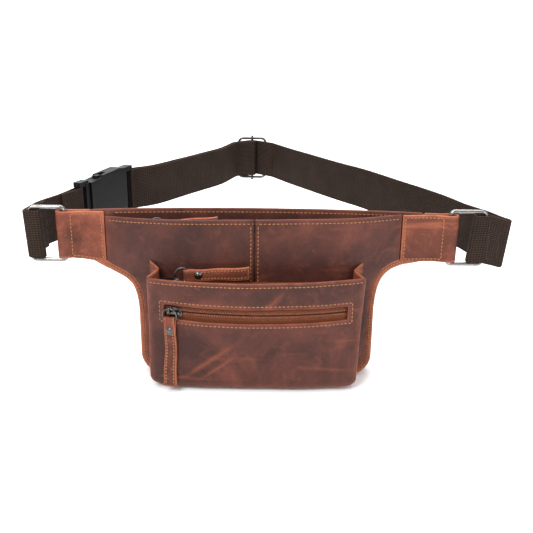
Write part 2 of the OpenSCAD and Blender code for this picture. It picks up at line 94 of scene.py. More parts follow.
def resample(points, step, closed=False):
    """Evenly spaced points along a polyline of vectors."""
    pts = [Vector(p) for p in points]
    if closed:
        pts.append(pts[0].copy())
    lengths = [0.0]
    for a, b in zip(pts, pts[1:]):
        lengths.append(lengths[-1] + (b - a).length)
    count = max(2, round(lengths[-1] / step))
    out, k = [], 0
    for i in range(count + (0 if closed else 1)):
        s = lengths[-1] * i / count
        while k < len(pts) - 2 and lengths[k + 1] < s:
            k += 1
        span = max(1e-9, lengths[k + 1] - lengths[k])
        out.append(pts[k].lerp(pts[k + 1], (s - lengths[k]) / span))
    return out


def spline(points, step):
    """A smooth curve through plan points, evenly sampled."""
    p = [Vector(q) for q in points]
    p = [2 * p[0] - p[1]] + p + [2 * p[-1] - p[-2]]
    out = []
    for i in range(1, len(p) - 2):
        a, b, c, d = p[i - 1], p[i], p[i + 1], p[i + 2]
        n = max(2, int((c - b).length / step * 2))
        for k in range(n):
            t = k / n
            out.append(0.5 * (2 * b + (c - a) * t + (2 * a - 5 * b + 4 * c - d) * t * t
                              + (3 * b - a - 3 * c + d) * t ** 3))
    out.append(p[-2])
    return resample(out, step)


# Lower edge of each wing, from its end to the pouch's side; 1 is the right wing and -1 the left
WING_EDGE = {
    1: [(131, -20), (122, -22), (115, -23), (109, -24.2), (105, -26), (101.5, -28.8), (98.5, -33),
        (95.8, -41), (94.3, -52), (94, -62)],
    -1: [(131, -22), (124, -26.2), (118, -29.4), (111, -31.8), (105, -34), (101, -36.8), (97.8, -40.6),
         (95.4, -48), (94.2, -57), (94, -66)],
}


def half_outline(d, end, side=1):
    """Half of the pack's outline from the wing to the bottom, moved inwards by d, with X positive."""
    edge = spline(WING_EDGE[side], 2)
    out = []
    for i, p in enumerate(edge):
        t = (edge[min(i + 1, len(edge) - 1)] - edge[max(i - 1, 0)]).normalized()
        x, z = p.x + t.y * d, p.y - t.x * d
        if x < end - 0.5:
            out.append((x, z))
    start = out[0][1] + (end - out[0][0]) * (out[0][1] - out[1][1]) / (out[0][0] - out[1][0])
    return ([(end, start)] + out
            + arc(POUCH_HALF - CORNER_R, POUCH_BOTTOM + CORNER_R, CORNER_R - d, 0, -90, 12))


def mirrored(points):
    return [(-x, z) for x, z in reversed(points)]


LOWER_EDGE = half_outline(0, WING_END) + mirrored(half_outline(0, WING_END, -1))


def bulge(x):
    """Y of the main pouch's front, round in plan."""
    return -4 - (POUCH_DEPTH - 4) * (1 - min(1, abs(x) / FRONT_END) ** 3)


def front_top(x):
    return FRONT_TOP + FRONT_TILT * x - FRONT_SAG * (x / FRONT_END) ** 2


def pocket_top(x):
    return POCKET_TOP + POCKET_TILT * x + 0.35 * math.cos(x / 27)


def wander(x, z, seed, scale, size):
    return size * noise.noise(Vector((x * scale, z * scale, seed)))


# ---- materials ----
def new_material(name, rough, metallic=0.0, color=None):
    mat = bpy.data.materials.new(name)
    mat.use_nodes = True
    bsdf = mat.node_tree.nodes["Principled BSDF"]
    bsdf.inputs["Roughness"].default_value = rough
    bsdf.inputs["Metallic"].default_value = metallic
    if color:
        bsdf.inputs["Base Color"].default_value = (*color, 1)
    return mat, mat.node_tree, bsdf


def node(tree, kind, links=None, **values):
    n = tree.nodes.new(kind)
    for key, value in values.items():
        if key in n.inputs.keys():
            n.inputs[key].default_value = value
        else:
            setattr(n, key, value)
    for socket, source in (links or {}).items():
        tree.links.new(source, n.inputs[socket])
    return n


def coords(tree, kind="Object"):
    return node(tree, "ShaderNodeTexCoord").outputs[kind]


def noise_of(tree, vector, scale, detail=4.0, rough=0.5, distortion=0.0):
    return node(tree, "ShaderNodeTexNoise", {"Vector": vector}, Scale=scale, Detail=detail,
                Roughness=rough, Distortion=distortion).outputs["Fac"]


def ramp(tree, fac, *stops):
    n = node(tree, "ShaderNodeValToRGB", {"Fac": fac})
    elements = n.color_ramp.elements
    while len(elements) < len(stops):
        elements.new(0.5)
    for element, (place, value) in zip(elements, stops):
        element.position = place
        element.color = (*value, 1) if isinstance(value, tuple) else (value, value, value, 1)
    return n.outputs["Color"]


def blend_colors(tree, fac, a, b, mode="MIX"):
    n = node(tree, "ShaderNodeMix", data_type="RGBA", blend_type=mode)
    for socket, source in ((n.inputs[0], fac), (n.inputs[6], a), (n.inputs[7], b)):
        if isinstance(source, (int, float)):
            socket.default_value = source
        elif isinstance(source, tuple):
            socket.default_value = (*source, 1)
        else:
            tree.links.new(source, socket)
    return n.outputs[2]


def math_of(tree, op, a, b=0.0):
    n = node(tree, "ShaderNodeMath", operation=op)
    for socket, source in ((n.inputs[0], a), (n.inputs[1], b)):
        if isinstance(source, (int, float)):
            socket.default_value = source
        else:
            tree.links.new(source, socket)
    return n.outputs[0]


def bump(tree, height, distance, strength=1.0, below=None):
    links = {"Height": height}
    if below is not None:
        links["Normal"] = below
    return node(tree, "ShaderNodeBump", links, Strength=strength, Distance=distance).outputs["Normal"]


def connect(tree, bsdf, **sources):
    for name, source in sources.items():
        tree.links.new(source, bsdf.inputs[name.replace("_", " ")])


def streak_mask(tree, xyz, start, end, width, breakup):
    """A soft rub mark between two places given in X and Z, broken up by a noise."""
    ax, az = (Vector(end) - Vector(start)).normalized()
    length = (Vector(end) - Vector(start)).length * MM

    def dot(kx, kz):
        part_x = math_of(tree, "MULTIPLY", xyz[0], kx)
        part_z = math_of(tree, "MULTIPLY", xyz[2], kz)
        origin = (start[0] * kx + start[1] * kz) * MM
        return math_of(tree, "SUBTRACT", math_of(tree, "ADD", part_x, part_z), origin)

    share = math_of(tree, "DIVIDE", dot(ax, az), length)
    along = ramp(tree, share, (0.0, 0.0), (0.2, 1.0), (0.75, 0.8), (1.0, 0.0))
    away = math_of(tree, "DIVIDE", math_of(tree, "ABSOLUTE", dot(-az, ax)), width * MM)
    line = ramp(tree, away, (0.0, 1.0), (0.35, 0.5), (1.0, 0.0))
    return math_of(tree, "MULTIPLY", math_of(tree, "MULTIPLY", line, along), breakup)


def leather(name, dark, mid, light, edge, streaks=(), gloss=0.47, worn_edge=0.6, patches=0.6):
    """Waxed pull-up leather: clouded tone, rubbed marks, lighter cut edges, pores and fine creases."""
    mat, tree, bsdf = new_material(name, gloss)
    where = coords(tree)
    clouds = noise_of(tree, where, 22, 6, 0.6, 0.7)
    color = ramp(tree, clouds, (0.36, dark), (0.52, mid), (0.70, light))
    broad = ramp(tree, noise_of(tree, where, 11, 4, 0.55, 0.5), (0.47, 0.0), (0.62, patches))
    color = blend_colors(tree, broad, color, dark)
    scuffs = ramp(tree, noise_of(tree, where, 60, 8, 0.72, 1.6), (0.53, 0.0), (0.72, 0.6))
    color = blend_colors(tree, scuffs, color, light)
    stretched = node(tree, "ShaderNodeMapping", {"Vector": where}, Rotation=(0, math.radians(38), 0),
                     Scale=(7, 60, 95)).outputs["Vector"]
    rubs = ramp(tree, noise_of(tree, stretched, 1.0, 5, 0.6), (0.6, 0.0), (0.72, 0.45))
    color = blend_colors(tree, rubs, color, edge)
    xyz = node(tree, "ShaderNodeSeparateXYZ", {"Vector": where}).outputs
    breakup = ramp(tree, noise_of(tree, where, 24, 4, 0.6), (0.35, 0.1), (0.6, 1.0))
    for start, end, width in streaks:
        mask = streak_mask(tree, xyz, start, end, width, breakup)
        color = blend_colors(tree, math_of(tree, "MULTIPLY", mask, 0.62), color, edge)
    speckle = ramp(tree, noise_of(tree, where, 900, 3, 0.6), (0.36, 0.80), (0.62, 1.12))
    color = blend_colors(tree, 0.55, color, speckle, "MULTIPLY")
    rim = node(tree, "ShaderNodeAttribute", attribute_name="rim").outputs["Fac"]
    patchy = ramp(tree, noise_of(tree, where, 130, 4), (0.3, 0.4 * worn_edge), (0.7, worn_edge))
    worn = math_of(tree, "MULTIPLY", rim, patchy)
    color = blend_colors(tree, worn, color, edge)
    pores = node(tree, "ShaderNodeTexVoronoi", {"Vector": where}, Scale=850.0,
                 Randomness=1.0).outputs["Distance"]
    fine = noise_of(tree, where, 1700, 3, 0.6)
    wrinkles = noise_of(tree, where, 130, 6, 0.65, 0.8)
    normal = bump(tree, wrinkles, 0.0011, 0.5)
    normal = bump(tree, pores, 0.0003, 0.55, normal)
    normal = bump(tree, fine, 0.00014, 0.6, normal)
    sheen = ramp(tree, clouds, (0.3, gloss + 0.10), (0.7, gloss - 0.06))
    shine = blend_colors(tree, 0.5, sheen, ramp(tree, fine, (0.3, gloss - 0.1), (0.7, gloss + 0.14)))
    connect(tree, bsdf, Base_Color=color, Roughness=shine, Normal=normal)
    bsdf.inputs["Specular IOR Level"].default_value = 0.26
    return mat


def woven(name, dark, light, ribs, weft, depth, gloss=0.75):
    """Webbing or tape woven along U and V, which are in metres; its colour is darker in the weave's grooves
    and lighter on its ribs, painted shade and painted light over the weave's pattern.
    """
    mat, tree, bsdf = new_material(name, gloss)
    uv = coords(tree, "UV")
    parts = node(tree, "ShaderNodeSeparateXYZ", {"Vector": uv}).outputs
    wave_v = math_of(tree, "SINE", math_of(tree, "MULTIPLY", parts[1], 2 * math.pi / (ribs * MM)))
    slant = math_of(tree, "ADD", math_of(tree, "MULTIPLY", parts[0], 2 * math.pi / (weft * MM)),
                    math_of(tree, "MULTIPLY", wave_v, 1.25))
    wave_u = math_of(tree, "SINE", slant)
    height = math_of(tree, "ADD", math_of(tree, "MULTIPLY", wave_v, 0.32),
                     math_of(tree, "MULTIPLY", wave_u, 0.22))
    height = math_of(tree, "ADD", height, 0.5)
    where = coords(tree)
    fuzz = noise_of(tree, where, 1400, 3, 0.7)
    # Painted shade and light: the colour follows the weave's height, darker down in the grooves and lighter
    # on the raised ribs.
    color = ramp(tree, height, (0.05, dark), (0.95, light))
    tone = ramp(tree, noise_of(tree, where, 60, 4), (0.3, 0.82), (0.7, 1.15))
    color = blend_colors(tree, 0.7, color, tone, "MULTIPLY")
    normal = bump(tree, height, depth * MM, 0.9)
    normal = bump(tree, fuzz, 0.0002, 0.5, normal)
    rough = ramp(tree, fuzz, (0.3, gloss - 0.08), (0.7, gloss + 0.12))
    connect(tree, bsdf, Base_Color=color, Normal=normal, Roughness=rough)
    bsdf.inputs["Specular IOR Level"].default_value = 0.08
    return mat


def metal(name, color, rough):
    """Plated metal with a faintly clouded polish."""
    mat, tree, bsdf = new_material(name, rough, 1.0)
    where = coords(tree)
    cloud = noise_of(tree, where, 220, 5, 0.6)
    dark = tuple(c * 0.72 for c in color)
    connect(tree, bsdf, Base_Color=ramp(tree, cloud, (0.32, dark), (0.6, color)),
            Roughness=ramp(tree, cloud, (0.3, rough + 0.12), (0.7, rough - 0.04)),
            Normal=bump(tree, noise_of(tree, where, 900, 3), 0.00006, 0.5))
    return mat


def fibre(name, dark, light, rough, scale):
    """Twisted thread or plain cloth."""
    mat, tree, bsdf = new_material(name, rough)
    where = coords(tree)
    strands = noise_of(tree, where, scale, 4, 0.65)
    connect(tree, bsdf, Base_Color=ramp(tree, strands, (0.3, dark), (0.7, light)),
            Roughness=ramp(tree, strands, (0.3, rough - 0.08), (0.7, rough + 0.1)),
            Normal=bump(tree, strands, 0.0002, 0.7))
    return mat


def plastic(name, color, rough):
    """Moulded plastic with a fine grain."""
    mat, tree, bsdf = new_material(name, rough)
    where = coords(tree)
    grain = noise_of(tree, where, 1500, 3, 0.6)
    wear = noise_of(tree, where, 90, 4, 0.6)
    light = tuple(c * 1.7 + 0.004 for c in color)
    connect(tree, bsdf, Base_Color=ramp(tree, wear, (0.35, color), (0.75, light)),
            Roughness=ramp(tree, wear, (0.3, rough), (0.75, rough + 0.16)),
            Normal=bump(tree, grain, 0.00008, 0.6))
    bsdf.inputs["Specular IOR Level"].default_value = 0.07
    return mat


DARK = leather("dark_leather", (0.038, 0.0115, 0.0085), (0.076, 0.0215, 0.0145), (0.140, 0.038, 0.023),
               (0.230, 0.062, 0.033), worn_edge=0.35)
POCKET = leather("pocket_leather", (0.040, 0.0120, 0.0090), (0.078, 0.0220, 0.0150), (0.145, 0.039, 0.024),
                 (0.260, 0.070, 0.036),
                 [((-64, -109), (-8, -68), 3.2), ((-50, -109), (-10, -80), 2.0), ((6, -46), (24, -28), 4.0),
                  ((30, -92), (78, -97), 2.2)], worn_edge=0.85)
TAN = leather("tan_leather", (0.066, 0.0170, 0.0095), (0.160, 0.041, 0.022), (0.300, 0.083, 0.043),
              (0.430, 0.130, 0.062), gloss=0.5, worn_edge=0.95, patches=0.7)
BACK = leather("back_leather", (0.036, 0.0115, 0.0085), (0.068, 0.0200, 0.0140), (0.120, 0.035, 0.022),
               (0.230, 0.066, 0.036), gloss=0.55)
# The first colour of each weave is painted shade for its grooves, the second painted light for the tops of
# its ribs.
WEBBING = woven("webbing_weave", (0.0035, 0.0022, 0.0018), (0.052, 0.0330, 0.0250), 1.45, 2.1, 0.5)
TAPE = woven("zip_tape_weave", (0.060, 0.017, 0.008), (0.235, 0.070, 0.030), 0.8, 0.9, 0.25, 0.7)
COIL = fibre("zip_coil_nylon", (0.100, 0.031, 0.016), (0.260, 0.085, 0.042), 0.34, 500)
THREAD = fibre("golden_thread", (0.140, 0.053, 0.019), (0.460, 0.205, 0.076), 0.62, 1800)
WEB_THREAD = fibre("webbing_thread", (0.012, 0.008, 0.007), (0.050, 0.034, 0.028), 0.7, 1800)
LINING = fibre("lining_cloth", (0.018, 0.012, 0.010), (0.045, 0.029, 0.023), 0.85, 1100)
GUNMETAL = metal("gunmetal", (0.125, 0.118, 0.112), 0.26)
NICKEL = metal("nickel", (0.270, 0.262, 0.250), 0.22)
DARK_NICKEL = metal("dark_nickel", (0.120, 0.115, 0.108), 0.24)
BLACK = plastic("black_plastic", (0.0030, 0.0030, 0.0034), 0.30)


# ---- meshes ----
def build(name, verts, faces, material, body=None, slot=None, replaces=(), rim=None, uv=None):
    mesh = bpy.data.meshes.new(name)
    mesh.from_pydata([Vector(v) * MM for v in verts], [], faces)
    if rim:
        mesh.attributes.new("rim", "FLOAT", "POINT").data.foreach_set("value", rim)
    if uv:
        layer = mesh.uv_layers.new(name="UVMap")
        for loop in mesh.loops:
            u, v = uv[loop.vertex_index]
            layer.data[loop.index].uv = (u * MM, v * MM)
    mesh.shade_smooth()
    mesh.materials.append(material)
    obj = bpy.data.objects.new(name, mesh)
    bpy.context.scene.collection.objects.link(obj)
    if body:
        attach(obj, body)
    if replaces:
        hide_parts(*replaces)
    return obj


def frame_at(surf, u, v, eps=0.4):
    """Point and outward normal of a surface."""
    du = surf(u + eps, v) - surf(u - eps, v)
    dv = surf(u, v + eps) - surf(u, v - eps)
    return surf(u, v), du.cross(dv).normalized()


def inside(p, loops):
    hit = False
    for loop in loops:
        for a, b in zip(loop, loop[1:] + loop[:1]):
            if (a[1] > p[1]) != (b[1] > p[1]):
                if p[0] < (b[0] - a[0]) * (p[1] - a[1]) / (b[1] - a[1]) + a[0]:
                    hit = not hit
    return hit


def area(loop):
    return sum(a[0] * b[1] - b[0] * a[1] for a, b in zip(loop, loop[1:] + loop[:1])) / 2


def offset_loop(loop, d):
    """Moves a closed loop to its left by d."""
    out = []
    for i, p in enumerate(loop):
        t = (loop[(i + 1) % len(loop)] - loop[i - 1]).normalized()
        out.append(p + d * Vector((-t.y, t.x)))
    return out


RIM_STEPS = 6
ROW_SHARE = 0.87  # distance of the mesh's rows, as a share of the step within a row


def sheet(name, outline, surf, thick, material, body, step=2.6, holes=(), rim_width=1.5, **kw):
    """Leather cut to an outline in (u, v), laid on a surface, with rounded, worn edges."""
    loops = []
    for k, loop in enumerate([outline, *holes]):
        even = resample(loop, step * 0.7, True)
        if (area(even) > 0) != (k == 0):
            even.reverse()
        loops.append(even)
    r = thick / 2
    inner = [offset_loop(loop, r) for loop in loops]
    flat = [p for loop in inner for p in loop]
    edges, start = [], 0
    for loop in inner:
        edges += [(start + i, start + (i + 1) % len(loop)) for i in range(len(loop))]
        start += len(loop)
    border = KDTree(len(flat))
    for i, p in enumerate(flat):
        border.insert((p.x, p.y, 0), i)
    border.balance()
    low_u, high_u = min(p.x for p in flat), max(p.x for p in flat)
    low_v, high_v = min(p.y for p in flat), max(p.y for p in flat)
    cloud = list(flat)
    for row in range(int((high_v - low_v) / (step * ROW_SHARE)) + 1):
        for col in range(int((high_u - low_u) / step) + 1):
            p = Vector((low_u + (col + 0.5 * (row % 2)) * step, low_v + row * step * ROW_SHARE))
            if border.find((p.x, p.y, 0))[2] > step * 0.6 and inside(p, inner):
                cloud.append(p)
    points, _, tris, origins, _, _ = delaunay_2d_cdt(cloud, edges, [], 0, 1e-5)
    tris = [t for t in tris if inside(sum((points[i] for i in t), Vector((0, 0))) / 3, inner)]
    place = {origin: i for i, found in enumerate(origins) for origin in found}
    count = len(points)
    verts, rim = [], []
    frames = [frame_at(surf, *p) for p in points]
    wear = [max(0.0, 1 - border.find((p.x, p.y, 0))[2] / rim_width) * 0.45 for p in points]
    for depth in (0, thick):
        verts += [p - n * depth for p, n in frames]
        rim += wear
    faces = [tuple(t) for t in tris] + [tuple(i + count for i in reversed(t)) for t in tris]
    start = 0
    for loop in loops:
        n = len(loop)
        last = [place[start + i] for i in range(n)]
        for k in range(1, RIM_STEPS + 1):
            a = math.pi * k / RIM_STEPS
            if k == RIM_STEPS:
                ring = [place[start + i] + count for i in range(n)]
            else:
                ring = list(range(len(verts), len(verts) + n))
                for p in offset_loop(loop, r - r * math.sin(a)):
                    point, normal = frame_at(surf, *p)
                    verts.append(point - normal * (r - r * math.cos(a)))
                    rim.append(1.0)
            faces += [(last[i], ring[i], ring[(i + 1) % n], last[(i + 1) % n]) for i in range(n)]
            last = ring
        start += n
    if kw.pop("mirror", False):
        verts = [Vector((-v[0], v[1], v[2])) for v in verts]
        faces = [tuple(reversed(f)) for f in faces]
    return build(name, verts, faces, material, body, rim=rim, **kw)


def loft(name, rings, material, body, closed=True, caps=True, rim=None, **kw):
    """Skins rings of equal length; each ring is a closed loop of points."""
    n = len(rings[0])
    verts = [p for ring in rings for p in ring]
    wrap = n if closed else n - 1
    faces = [(i * n + k, i * n + (k + 1) % n, (i + 1) * n + (k + 1) % n, (i + 1) * n + k)
             for i in range(len(rings) - 1) for k in range(wrap)]
    if caps:
        faces += [tuple(range(n - 1, -1, -1)), tuple(range(len(verts) - n, len(verts)))]
    return build(name, verts, faces, material, body, rim=rim, **kw)


CAPSULE_RINGS, CAPSULE_SIDES = 5, 6


def capsules(name, items, material, body, **kw):
    """Short rounded strands. Each item is (start, end, outward normal, half width, half height, arch)."""
    verts, faces = [], []
    for start, end, up, wide, high, arch in items:
        across = (end - start).normalized().cross(up)
        base = len(verts)
        for i in range(CAPSULE_RINGS):
            t = i / (CAPSULE_RINGS - 1)
            swell = max(0.25, math.sqrt(max(0, 1 - (2 * t - 1) ** 4)))
            centre = start.lerp(end, t) + up * arch * (math.sin(math.pi * t) - 0.6)
            for k in range(CAPSULE_SIDES):
                a = 2 * math.pi * k / CAPSULE_SIDES
                verts.append(centre + across * wide * swell * math.cos(a) + up * high * swell * math.sin(a))
        for i in range(CAPSULE_RINGS - 1):
            for k in range(CAPSULE_SIDES):
                m = (k + 1) % CAPSULE_SIDES
                a, b = base + i * CAPSULE_SIDES, base + (i + 1) * CAPSULE_SIDES
                faces.append((a + k, b + k, b + m, a + m))
        last = base + (CAPSULE_RINGS - 1) * CAPSULE_SIDES
        faces.append(tuple(base + k for k in range(CAPSULE_SIDES)))
        faces.append(tuple(last + k for k in reversed(range(CAPSULE_SIDES))))
    return build(name, verts, faces, material, body, **kw)


def stitch_items(surf, path, flip=1, pitch=3.3, wide=0.42, lift=0.2, gap_share=0.1):
    """Running stitches along a path of (u, v) on a surface."""
    rail = resample([Vector(p) for p in path], 0.8)
    frames = [frame_at(surf, *p) for p in rail]
    points = resample([p for p, _ in frames], pitch)
    items, k = [], 0
    for a, b in zip(points, points[1:]):
        while k < len(frames) - 1 and (frames[k][0] - a).length > (frames[k + 1][0] - a).length:
            k += 1
        up = frames[k][1] * flip
        lean = (b - a).cross(up).normalized() * random.uniform(-0.09, 0.09)
        gap = (b - a) * gap_share
        items.append((a + gap + lean + up * lift, b - gap - lean + up * lift, up, wide, 0.3, 0.34))
    return items


def mirror_items(items):
    def flip(v):
        return Vector((-v.x, v.y, v.z))

    return [(flip(b), flip(a), flip(up), *rest) for a, b, up, *rest in items]


# ---- surfaces, as functions of X and Z ----
def dent(distance, width=1.1, depth=0.28):
    """Depth of a groove at a distance from its middle."""
    return depth * math.exp(-(distance / width) ** 2)


TOP_ROW = 3.4
POCKET_ROW = 3.3
SEAM_ROW = 2.8
SEAM_X = -1.7


def front_surf(x, z):
    y = bulge(x) - wander(x, z, 3.1, 0.028, 0.9) * smooth((116 - abs(x)) / 20)
    y += dent(z - front_top(x) + TOP_ROW) + dent(abs(x - SEAM_X) - SEAM_ROW) + dent(x - SEAM_X, 0.8, 1.1)
    return Vector((x, y, z))


def face_y(x, z):
    """The pocket's face: round in plan at its top and nearly straight at its bottom."""
    x = min(FACE_R * 0.9, abs(x))
    y = FACE_AXIS - math.sqrt(FACE_R ** 2 - x ** 2)
    straight = 0.72 * smooth((-60 - z) / 48) * (1 - 0.38 * smooth((x - 66) / 17))
    return y + (FACE_AXIS - FACE_R - y) * straight


def window_gap(x, z):
    """Distance from the stitch rectangle round the face zip."""
    dx, dz = abs(x) - FRAME_HALF, abs(z - ZIP_Z) - FRAME_H
    return abs(max(dx, dz)) if max(dx, dz) > 0 or dx > -3 or dz > -3 else 3


def pocket_surf(x, z):
    y = face_y(x, z) - wander(x, z, 8.7, 0.035, 1.0) * smooth((84 - abs(x)) / 14)
    y += dent(z - pocket_top(x) + POCKET_ROW) + dent(window_gap(x, z))
    y += 1.3 * smooth((POCKET_LOW + 6 - z) / 6) + 0.9 * smooth((abs(x) - 80) / 4.5)
    return Vector((x, y, z))


def back_front_surf(x, z):
    return Vector((x, -2.1 - wander(x, z, 5.5, 0.02, 0.3), z))


def back_rear_surf(x, z):
    return Vector((x, -0.02, z))


# ---- back panel ----
def back_top(x):
    return 22 - 2 * (x / 125) ** 2 if abs(x) < 125 else 20 - 0.6 * (abs(x) - 125) / 6


back_outline = ([(-WING_END, TAB_Z)] + [(x, back_top(x)) for x in range(-128, 129, 8)]
                + [(WING_END, TAB_Z)] + LOWER_EDGE)
sheet("back_leather", back_outline, back_front_surf, LEATHER, BACK, "pouch", step=4,
      slot="leather_tan", replaces=["back_panel"])
REAR_ROW = 4
inner_row = [(x, back_top(x) - 3.2) for x in range(-112, 113, 8)]
rear_row = [(x, back_top(x) - REAR_ROW) for x in range(-124, 125, 8)]
rear_items = stitch_items(back_rear_surf, rear_row, -1)
for side in (1, -1):
    row = half_outline(REAR_ROW, WING_END - REAR_ROW, side)
    rear_items += stitch_items(back_rear_surf, row if side > 0 else mirrored(row), -1)
low_row = POUCH_BOTTOM + REAR_ROW
rear_items += stitch_items(back_rear_surf, [(-77, low_row), (77, low_row)], -1)
capsules("back_stitches", rear_items + stitch_items(back_front_surf, inner_row), THREAD, "pouch",
         slot="leather_tan")


# ---- binding round the lower edge ----
BAND = 5.4
BAND_PITCH = 2.7


def binding_front(x):
    return bulge(x) - 0.65 if abs(x) < FRONT_END else -4.3


def binding_section(x):
    """(inset, y) round the binding at a place of the outline."""
    front = binding_front(x)
    round_r = 1.5
    turn = [(round_r - round_r * math.cos(a), front + round_r - round_r * math.sin(a))
            for a in (math.pi * k / 10 for k in range(6))]
    return ([(0.0, -2.15), (0.0, (front - 2.15) / 2)] + turn
            + [(2.5, front + 0.2), (3.2, front + 0.4), (3.9, front + 0.2),
               (BAND - 0.7, front + 0.1), (BAND - 0.15, front + 0.45), (BAND, front + 1.0),
               (BAND - 0.3, front + 1.9), (2.6, front + 2.2), (2.2, front + 2.6), (2.2, -2.15)])


path = resample(LOWER_EDGE, BAND_PITCH / 3)
rings, rims = [], []
for i, p in enumerate(path):
    t = (path[min(i + 1, len(path) - 1)] - path[max(i - 1, 0)]).normalized()
    inward = Vector((t.y, -t.x))
    wave = wander(p.x, p.y, 1.7, 0.12, 0.25)
    ring = []
    pucker = 0.4 * math.sin(2 * math.pi * i / 3)
    for inset, y in binding_section(p.x):
        q = p + inward * (inset + (wave if inset > 1 else 0))
        if inset > 1.9 and y < -4.4:
            y += pucker
        elif inset > 0:
            y += 0.3 * pucker
        ring.append(Vector((q.x, y, q.y)))
        rims.append(0.5 if inset < 1.0 else 0.85 if inset < 2.0 or inset > 4.3 else 0.35)
    rings.append(ring)
loft("binding", rings, TAN, "pouch", rim=rims, slot="leather_tan", replaces=["edge_band"])


def binding_surf(x, z):
    return Vector((x, binding_front(x) + 0.25, z))


band_items = []
for side in (1, -1):
    row = half_outline(3.2, WING_END - 1, side)
    band_items += stitch_items(binding_surf, row if side > 0 else mirrored(row), pitch=BAND_PITCH, wide=0.44,
                               lift=0.3)
capsules("binding_stitches", band_items, THREAD, "pouch", slot="leather_tan")

# ---- main front panels, joined by the middle seam ----
PANEL_INSET = 4.7
TAB_START = {1: 114.0, -1: 120.2}
TAB_FLARE = {1: 0.3, -1: 4.2}
for side, sign in (("right", 1), ("left", -1)):
    first, last = SEAM_X * sign + 0.25, TAB_START[sign] - 0.3
    top = [(x, front_top(sign * x)) for x in (first + (last - first) * i / 24 for i in range(25))]
    shape = top + half_outline(PANEL_INSET, last, sign) + [(first, POUCH_BOTTOM + PANEL_INSET)]
    if sign < 0:
        shape = mirrored(shape)
    sheet(f"main_front_leather_{side}", shape, front_surf, LEATHER, DARK, "pouch", step=2.4,
          slot="leather_dark", replaces=[f"main_front_{side}"])
top_row = [(x, front_top(x) - TOP_ROW) for x in range(-117, 112, 4)]
seam_items = stitch_items(front_surf, top_row)
for x in (SEAM_X - SEAM_ROW, SEAM_X + SEAM_ROW):
    seam_items += stitch_items(front_surf, [(x, 14), (x, -104)])
capsules("main_front_stitches", seam_items, THREAD, "pouch", slot="leather_dark")


def backing_surf(x, z):
    return Vector((x, bulge(x) + 2.1, z))


strip_left, strip_right, strip_top, strip_low = SEAM_X - 4, SEAM_X + 4, 18.4, -100
strip = [(strip_left, strip_top), (strip_right, strip_top), (strip_right, strip_low), (strip_left, strip_low)]
sheet("seam_backing_leather", strip, backing_surf, 0.9, DARK, "pouch",
      step=4, slot="leather_dark", replaces=["seam_backing"])

# ---- tabs folded round the rings' inner bars ----
FOLD_R, FOLD_LONG = 4.5, 1.5
TAB_STEP = 0.7
TAB_ROW = 2.8
FOLD = [(RING_IN + FOLD_LONG * (x - RING_IN), y) for x, y in arc(RING_IN, RING_Y, FOLD_R, -97, 88, 16)]


def tab(name, sign):
    """Leather from the front panel round the ring's bar to the back, with a stitched box on each layer."""
    start = TAB_START[sign]
    line = resample([(start, min(-4.6, bulge(start) - 0.6)), (139.5, -5.2)] + FOLD
                    + [(146, -0.05), (WING_END + 0.2, -0.02)], TAB_STEP)
    length = TAB_STEP * (len(line) - 1)
    first_row, outer_row = 2.4, RING_IN - start - 5.2

    def surf(u, z):
        i = min(len(line) - 2, max(0, int(u / length * (len(line) - 1))))
        p = line[i].lerp(line[i + 1], u / length * (len(line) - 1) - i)
        y = p.y + wander(p.x, z, 2.2, 0.05, 0.5) * smooth(u / 6)
        if u < 42:
            y += dent(u - first_row) + dent(u - outer_row) + dent(z - TAB_Z + TAB_ROW)
        return Vector((p.x, y, z))

    flare = TAB_FLARE[sign]
    outline = [(0, -TAB_Z - flare), (outer_row, -TAB_Z - 0.2), (length, -TAB_Z), (length, TAB_Z),
               (0, TAB_Z - 0.8)]
    items = []
    low_row, top_row = -TAB_Z + 2.5, TAB_Z - TAB_ROW
    for u0, u1, low in ((first_row, outer_row, flare * 0.9), (length - 2.6, length - 12.5, 0)):
        box = [(u0, low_row - low), (u1, low_row), (u1, top_row), (u0, top_row), (u0, low_row - low)]
        for a, b in zip(box, box[1:]):
            items += stitch_items(surf, [a, b], pitch=3.0)
    sheet(f"tab_leather_{name}", outline, surf, LEATHER, TAN, "pouch", step=2.2, mirror=sign < 0,
          slot="leather_tan", replaces=[f"tab_{name}"])
    capsules(f"tab_stitches_{name}", mirror_items(items) if sign < 0 else items, THREAD, "pouch",
             slot="leather_tan")


tab("right", 1)
tab("left", -1)

# ---- linings ----
LINING_TOP = -2
CLOTH_STEP = 5
lining_right, lining_left = ([(100, LINING_TOP)] + half_outline(3.6, 103, side) for side in (1, -1))
lining_outline = lining_right + mirrored(lining_left)


def lining_front_surf(x, z):
    return Vector((x, bulge(x) + 3.5 + wander(x, z, 4, 0.08, 0.5), z))


def lining_back_surf(x, z):
    return Vector((x, -3.3 - wander(x, z, 6, 0.08, 0.4), z))


def round_sheet(x, inset):
    """Y of an arc that lies behind the pocket's face by inset."""
    return FACE_AXIS - math.sqrt((FACE_R - inset) ** 2 - x * x)


def pocket_lining_surf(x, z):
    return Vector((x, round_sheet(x, 7.4) + wander(x, z, 9, 0.06, 0.6), z))


def zip_pouch_surf(x, z):
    return Vector((x, round_sheet(x, 6.3), z))


sheet("lining_front", lining_outline, lining_front_surf, CLOTH, LINING, "pouch",
      step=CLOTH_STEP, slot="lining", replaces=["main_lining"])
sheet("lining_back", lining_outline, lining_back_surf, CLOTH, LINING, "pouch",
      step=CLOTH_STEP, slot="lining")
sheet("pocket_lining_cloth", rectangle(58, -35, -106), pocket_lining_surf, CLOTH, LINING, "pouch",
      step=CLOTH_STEP, slot="lining", replaces=["pocket_lining"])
sheet("face_zip_pouch_cloth", rectangle(64, -42, -102), zip_pouch_surf, 0.6, LINING, "pouch",
      step=CLOTH_STEP, slot="lining", replaces=["face_zip_pouch"])

